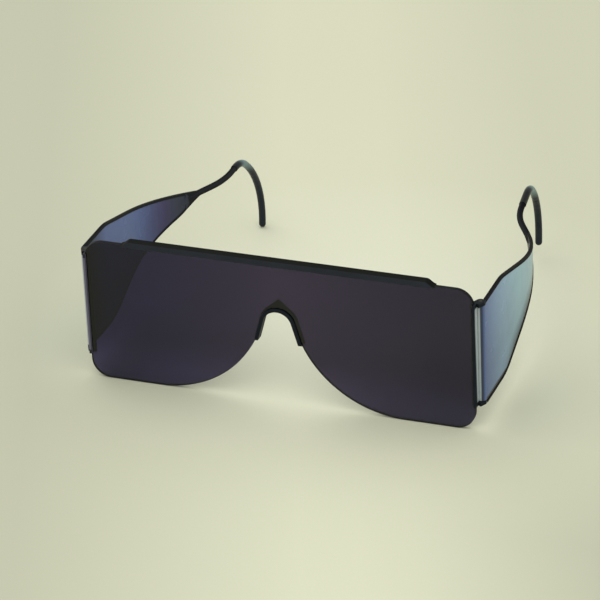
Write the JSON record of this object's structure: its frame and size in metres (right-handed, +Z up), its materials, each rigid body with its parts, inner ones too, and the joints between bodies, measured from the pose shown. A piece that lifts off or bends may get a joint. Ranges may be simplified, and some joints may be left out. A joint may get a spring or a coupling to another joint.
{
  "type": "sunglasses",
  "caption": "Shield sunglasses with one flat dark lens, a brow bar, a nose bridge, wide side panels as temples and curved ear hooks that fold inwards.",
  "frame": {"origin": "centre of the bounding box at the bottom, on the ground under the lens and the left hook's tip", "axes": "+X to the right across the face as seen from the front, +Z up, -Y the way the wearer looks"},
  "size_m": [0.1512, 0.1355, 0.0561],
  "materials": {
    "lens": "smoke-tinted, clear and polished",
    "frame": "satin black moulding",
    "temple": "glossy blue-black moulding",
    "sleeve": "smooth soft sleeve",
    "steel": "plain drawn wire"
  },
  "bodies": {
    "front": {"lens": "lens", "brow_bar": "frame", "nose_bridge": "frame", "hinge_bracket_left": "frame", "hinge_bracket_right": "frame", "hinge_pin_left": "steel", "hinge_pin_right": "steel"},
    "left_arm": {"temple_left": "temple", "ear_sleeve_left": "sleeve", "ear_wire_left": "steel"},
    "right_arm": {"temple_right": "temple", "ear_sleeve_right": "sleeve", "ear_wire_right": "steel"}
  },
  "joints": [
    {"name": "fold_right", "type": "hinge", "parent": "front", "child": "right_arm", "pos_m": [0.07389, -0.0632, 0.03], "axis": [0, 0, 1], "range_deg": [0, 78]},
    {"name": "fold_left", "type": "hinge", "parent": "front", "child": "left_arm", "pos_m": [-0.07389, -0.0632, 0.03], "axis": [0, 0, -1], "range_deg": [0, 58]}
  ]
}
